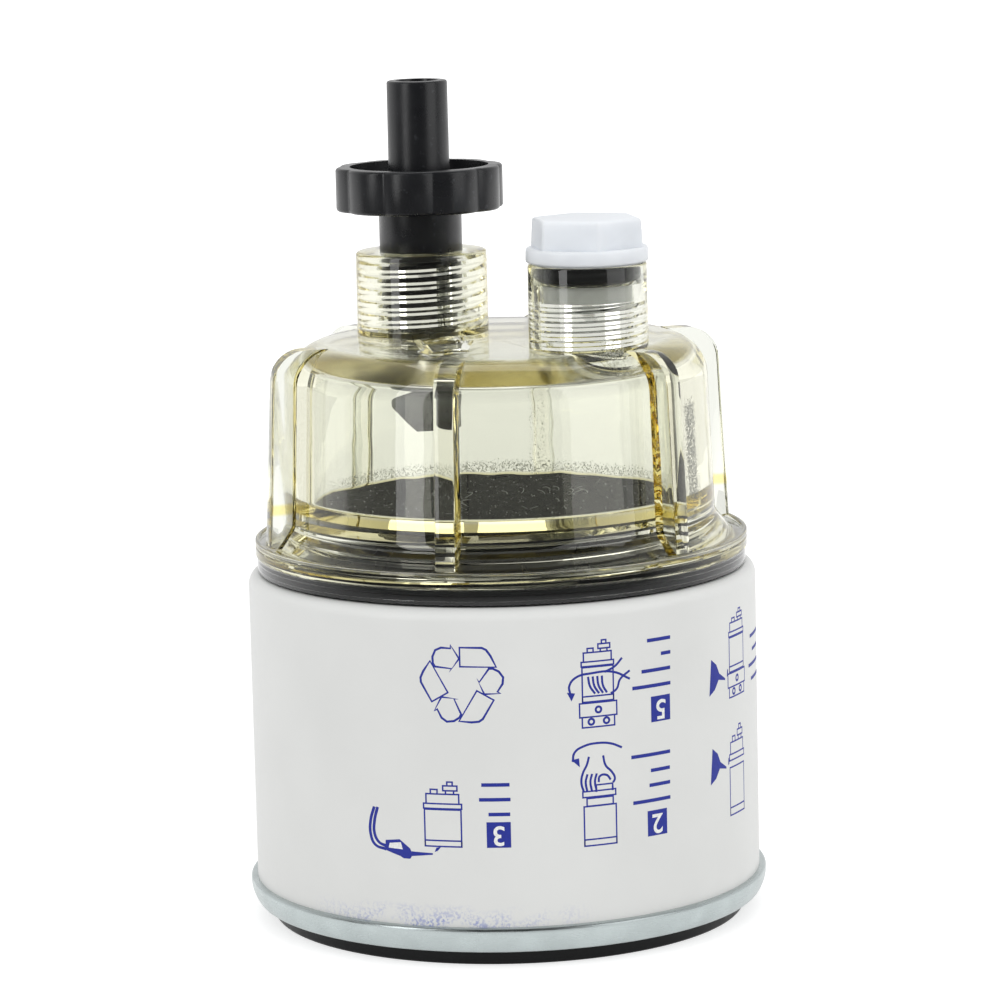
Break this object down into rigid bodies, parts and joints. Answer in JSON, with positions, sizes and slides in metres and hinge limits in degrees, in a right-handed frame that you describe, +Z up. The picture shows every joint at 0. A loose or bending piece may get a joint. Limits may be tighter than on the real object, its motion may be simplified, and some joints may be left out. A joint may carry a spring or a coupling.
{
  "type": "fuel water separator",
  "caption": "Spin-on fuel filter with a clear ribbed water bowl, hand-turned drain valve and plugged sensor port, standing on its mounting gasket.",
  "frame": {"origin": "centre of the mounting gasket's sealing face, which the part stands on", "axes": "+Z up along the can's axis towards the bowl and the drain spout; -Y towards the viewer of the printed side"},
  "size_m": [0.083, 0.083, 0.1326],
  "materials": {
    "nitrile_rubber": "matte",
    "seal_rubber": "satin",
    "zinc_steel": "satin",
    "plate_steel": "satin",
    "white_paint_steel": "gloss",
    "tin_plate": "satin",
    "spring_steel": "satin",
    "filter_paper": "matte",
    "black_nylon": "satin",
    "valve_nylon": "satin",
    "clear_polymer": "gloss",
    "white_nylon": "satin"
  },
  "bodies": {
    "filter": {"mounting_gasket": "nitrile_rubber", "seaming_lid": "zinc_steel", "nut_plate": "plate_steel", "can_shell": "white_paint_steel", "element_cap_lower": "tin_plate", "element_cap_upper": "tin_plate", "pleated_media": "filter_paper", "centre_tube": "tin_plate", "media_seam_clip": "tin_plate", "grommet_seal": "nitrile_rubber", "support_spring": "spring_steel", "thread_neck": "black_nylon", "neck_gasket": "nitrile_rubber"},
    "bowl_rise": {"bowl_seal": "seal_rubber"},
    "bowl": {"bowl": "clear_polymer"},
    "drain_rise": {"drain_o_ring": "seal_rubber"},
    "drain_valve": {"drain_valve": "valve_nylon"},
    "plug_rise": {"plug_o_ring": "seal_rubber"},
    "port_plug": {"port_plug": "white_nylon"}
  },
  "joints": [
    {"name": "bowl_lift", "type": "slide", "parent": "filter", "child": "bowl_rise", "axis": [0, 0, 1], "range_m": [0, 0.0075]},
    {"name": "bowl_turn", "type": "hinge", "parent": "bowl_rise", "child": "bowl", "pos_m": [0, 0, 0], "axis": [0, 0, 1], "range_deg": [0, 900]},
    {"name": "drain_lift", "type": "slide", "parent": "bowl", "child": "drain_rise", "axis": [0, 0, 1], "range_m": [0, 0.004]},
    {"name": "drain_turn", "type": "hinge", "parent": "drain_rise", "child": "drain_valve", "pos_m": [-0.01177, 0.01098, 0], "axis": [0, 0, 1], "range_deg": [0, 720]},
    {"name": "plug_lift", "type": "slide", "parent": "bowl", "child": "plug_rise", "axis": [0, 0, 1], "range_m": [0, 0.0075]},
    {"name": "plug_turn", "type": "hinge", "parent": "plug_rise", "child": "port_plug", "pos_m": [0.01433, -0.01337, 0], "axis": [0, 0, 1], "range_deg": [0, 1800]}
  ],
  "couplings": [
    {"joint": "bowl_lift", "follows": "bowl_turn", "m_per_rad": 0.00047746},
    {"joint": "drain_lift", "follows": "drain_turn", "m_per_rad": 0.00031831},
    {"joint": "plug_lift", "follows": "plug_turn", "m_per_rad": 0.00023873}
  ]
}
